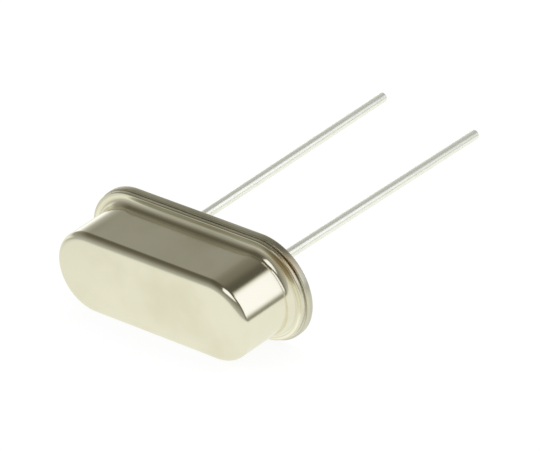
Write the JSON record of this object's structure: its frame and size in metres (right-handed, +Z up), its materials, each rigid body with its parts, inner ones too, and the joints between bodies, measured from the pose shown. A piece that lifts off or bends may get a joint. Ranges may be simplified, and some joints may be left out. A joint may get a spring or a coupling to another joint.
{
  "type": "crystal oscillator",
  "caption": "Low-profile quartz crystal in a welded metal can with round ends and long wire leads, used to set the frequency of an oscillator circuit.",
  "frame": {"origin": "on the surface that the part lies on, under the middle of its whole footprint", "axes": "+X along the can's long way, +Y from the can toward the free ends of the leads, +Z up; the part lies on its broad side, so the leads rise by about ten degrees toward +Y"},
  "size_m": [0.0114, 0.0176, 0.0052],
  "materials": {
    "can_plate": "bright nickel plate on drawn steel, faintly hazed",
    "base_plate": "bright nickel plate on stamped steel",
    "seal_glass": "dark glossy sealing glass",
    "lead_tin": "smooth bright tin plate",
    "clip_sheet": "thin spring sheet, nickel plated",
    "quartz": "finely lapped clear quartz",
    "electrode_film": "evaporated silver film",
    "conductive_adhesive": "cured adhesive filled with silver"
  },
  "bodies": {
    "root": {"can": "can_plate", "base": "base_plate", "glass_seal_left": "seal_glass", "glass_seal_right": "seal_glass", "lead_left": "lead_tin", "lead_right": "lead_tin", "clip_left": "clip_sheet", "clip_right": "clip_sheet", "quartz_plate": "quartz", "electrode_upper": "electrode_film", "electrode_lower": "electrode_film", "bond_left": "conductive_adhesive", "bond_right": "conductive_adhesive"}
  },
  "joints": []
}
